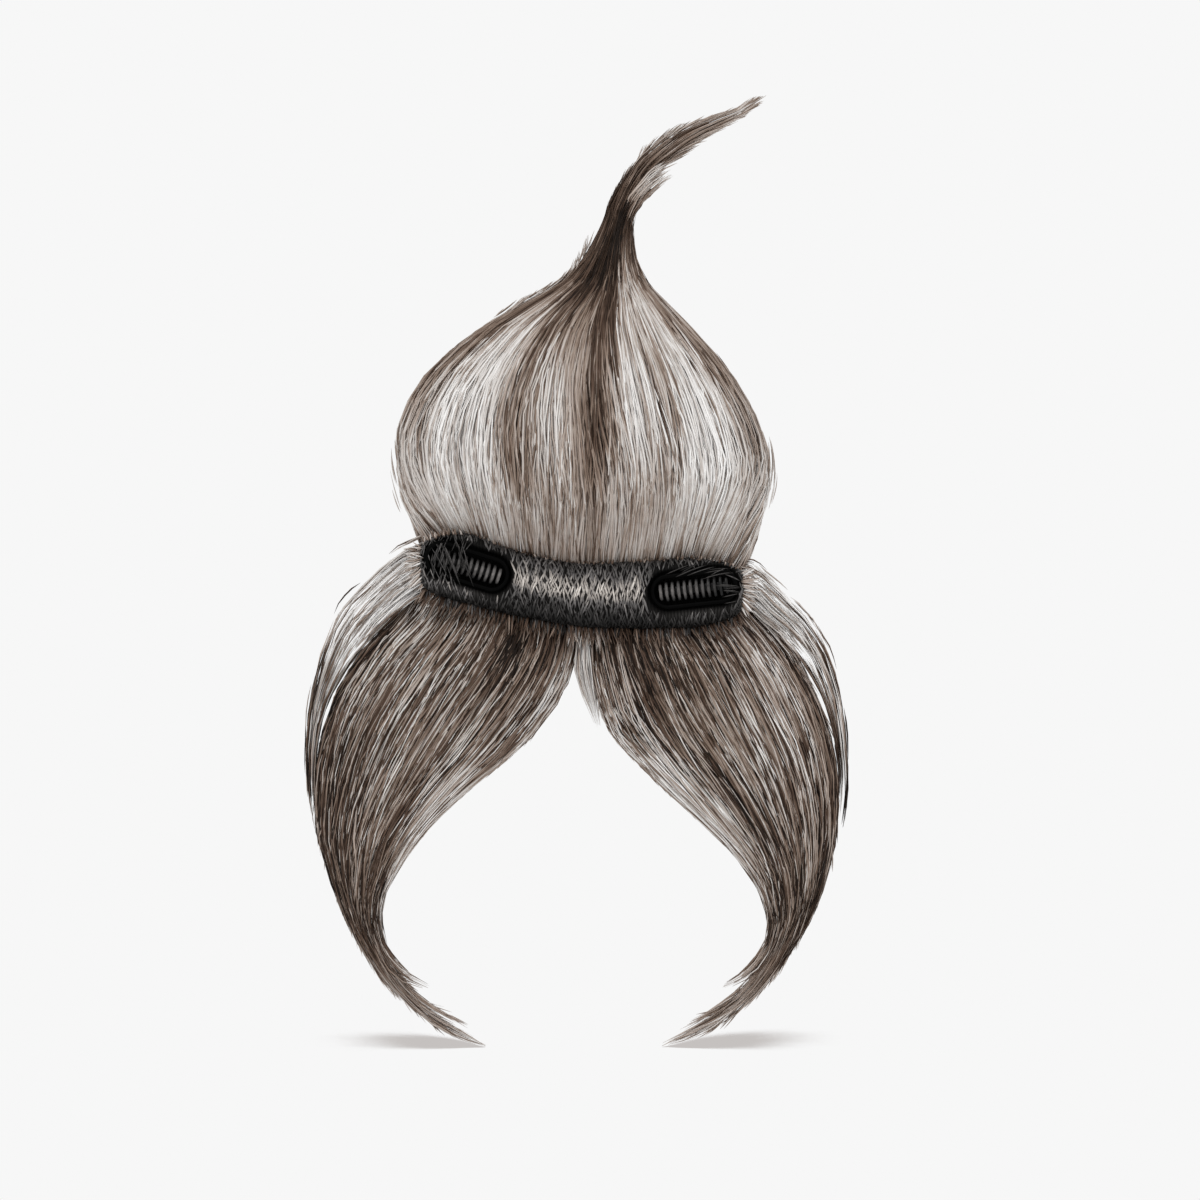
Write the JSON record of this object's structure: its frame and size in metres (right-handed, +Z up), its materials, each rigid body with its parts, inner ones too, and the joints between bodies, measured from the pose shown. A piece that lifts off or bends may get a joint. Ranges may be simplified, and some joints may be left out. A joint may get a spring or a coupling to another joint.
{
  "type": "clip-on ponytail",
  "caption": "Upright clip-on hairpiece: a wound padded band with comb clips on its inner face, an onion-shaped crown tuft with a curled tip above it and curved pointed side locks below.",
  "frame": {"origin": "middle of the band's inner face, where it lies on the head", "axes": "+Z up towards the curled tip, -Y out of the inner face towards the head, +X to the right as seen from the head"},
  "size_m": [0.183, 0.0666, 0.3167],
  "materials": {
    "band_net": "charcoal thread net over padding",
    "clip_steel": "black enamel",
    "clip_grip": "black, satin",
    "crown_hair": "grey-brown hair with pale streaks",
    "lock_hair": "grey-brown hair"
  },
  "bodies": {
    "root": {"band": "band_net", "clip_left_frame": "clip_steel", "clip_left_grip": "clip_grip", "clip_right_frame": "clip_steel", "clip_right_grip": "clip_grip", "crown_tuft": "crown_hair", "side_lock_left": "lock_hair", "side_lock_right": "lock_hair"}
  },
  "joints": []
}
